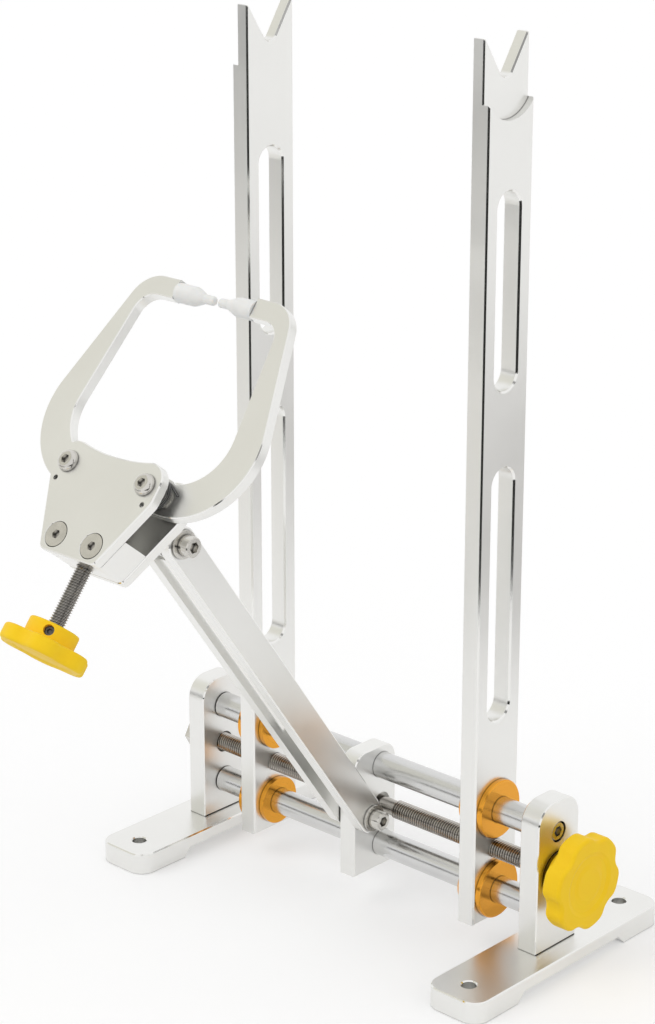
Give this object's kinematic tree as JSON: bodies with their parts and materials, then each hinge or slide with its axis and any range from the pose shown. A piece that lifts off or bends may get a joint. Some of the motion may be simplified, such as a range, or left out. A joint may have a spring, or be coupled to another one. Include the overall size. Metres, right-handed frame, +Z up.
{
  "type": "bicycle wheel truing stand",
  "caption": "Bench stand that holds a bicycle wheel by its axle between sliding uprights, with a swing arm that carries a screw-set caliper for truing the rim.",
  "frame": {"origin": "middle of the four bench holes in the feet, on the table's surface", "axes": "+Z up; +X along the lead screw towards its knob; -Y to the side that the swing arm leans out to"},
  "size_m": [0.277, 0.3173, 0.4625],
  "materials": {
    "aluminium": "bead-blasted and clear anodised, satin",
    "polished_steel": "ground and polished",
    "screw_steel": "rolled thread, slightly dull",
    "stainless_steel": "bright stainless",
    "bearing_steel": "ground",
    "gold_anodised": "turned and orange-gold anodised",
    "yellow_plastic": "moulded, slight sheen",
    "white_nylon": "turned, translucent white",
    "black_spring_steel": "black oxide"
  },
  "bodies": {
    "base": {"foot_right": "aluminium", "foot_left": "aluminium", "end_plate_right": "aluminium", "end_plate_left": "aluminium", "foot_screws": "stainless_steel", "guide_rod_lower": "polished_steel", "guide_rod_upper": "polished_steel", "rod_end_screws": "stainless_steel", "bearing_outer_ring_right": "bearing_steel", "bearing_outer_ring_left": "bearing_steel", "bearing_balls": "bearing_steel", "centre_block": "aluminium", "block_grub_screws": "black_spring_steel"},
    "lead_screw": {"lead_screw": "screw_steel", "bearing_inner_rings": "bearing_steel", "lead_washers": "stainless_steel", "lead_lock_nut": "stainless_steel", "lead_knob": "yellow_plastic", "lead_knob_grub_screw": "black_spring_steel"},
    "upright_right": {"upright_right": "aluminium", "bush_lower_right": "gold_anodised", "bush_upper_right": "gold_anodised", "bush_rings_right": "gold_anodised"},
    "upright_left": {"upright_left": "aluminium", "bush_lower_left": "gold_anodised", "bush_upper_left": "gold_anodised", "bush_rings_left": "gold_anodised"},
    "arm": {"arm": "aluminium", "arm_pivot_bolts": "stainless_steel", "arm_pivot_washers": "stainless_steel", "arm_pivot_nuts": "stainless_steel"},
    "caliper": {"caliper_front_plate": "aluminium", "caliper_rear_plate": "aluminium", "caliper_spacer_block": "aluminium", "caliper_plate_screws": "stainless_steel", "jaw_pivot_screws": "stainless_steel", "jaw_pivot_sleeves": "stainless_steel", "jaw_spacer_rings": "stainless_steel", "torsion_spring_right": "black_spring_steel", "torsion_spring_left": "black_spring_steel"},
    "jaw_right": {"jaw_right": "aluminium", "jaw_tip_right": "white_nylon"},
    "jaw_left": {"jaw_left": "aluminium", "jaw_tip_left": "white_nylon"},
    "pusher": {"pusher_cap": "stainless_steel"},
    "thumb_screw": {"thumb_screw": "screw_steel", "thumb_knob": "yellow_plastic", "thumb_knob_grub_screw": "black_spring_steel"}
  },
  "joints": [
    {"name": "upright_right_slide", "type": "slide", "parent": "base", "child": "upright_right", "axis": [-1, 0, 0], "range_m": [-0.024, 0.035]},
    {"name": "upright_left_slide", "type": "slide", "parent": "base", "child": "upright_left", "axis": [1, 0, 0], "range_m": [-0.0241, 0.0351]},
    {"name": "lead_screw_turn", "type": "hinge", "parent": "base", "child": "lead_screw", "pos_m": [0, 0, 0.052], "axis": [-1, 0, 0], "range_deg": [-5775, 8411]},
    {"name": "arm_turn", "type": "hinge", "parent": "base", "child": "arm", "pos_m": [0, -0.015, 0.0512], "axis": [1, 0, 0], "range_deg": [-3, 40.5]},
    {"name": "caliper_turn", "type": "hinge", "parent": "arm", "child": "caliper", "pos_m": [0, -0.14798, 0.23763], "axis": [1, 0, 0], "range_deg": [-60, 60]},
    {"name": "pusher_slide", "type": "slide", "parent": "caliper", "child": "pusher", "axis": [0, 0.6293, 0.7771], "range_m": [-0.00027, 0.00663]},
    {"name": "thumb_screw_turn", "type": "hinge", "parent": "pusher", "child": "thumb_screw", "pos_m": [0, -0.20253, 0.23034], "axis": [0, 0.6293, 0.7771], "range_deg": [-79, 1911]},
    {"name": "jaw_right_turn", "type": "hinge", "parent": "caliper", "child": "jaw_right", "pos_m": [0.0253, -0.17138, 0.2688], "axis": [0, 0.7771, -0.6293], "range_deg": [-0.84, 20.01]},
    {"name": "jaw_left_turn", "type": "hinge", "parent": "caliper", "child": "jaw_left", "pos_m": [-0.0253, -0.17138, 0.2688], "axis": [0, -0.7771, 0.6293], "range_deg": [-0.84, 20.01]}
  ],
  "couplings": [
    {"joint": "upright_left_slide", "follows": "upright_right_slide", "ratio": 1},
    {"joint": "lead_screw_turn", "follows": "upright_right_slide", "rad_per_m": 4188.8},
    {"joint": "thumb_screw_turn", "follows": "pusher_slide", "rad_per_m": 5026.5},
    {"joint": "jaw_right_turn", "follows": "pusher_slide", "rad_per_m": 52.632},
    {"joint": "jaw_left_turn", "follows": "pusher_slide", "rad_per_m": 52.632}
  ]
}
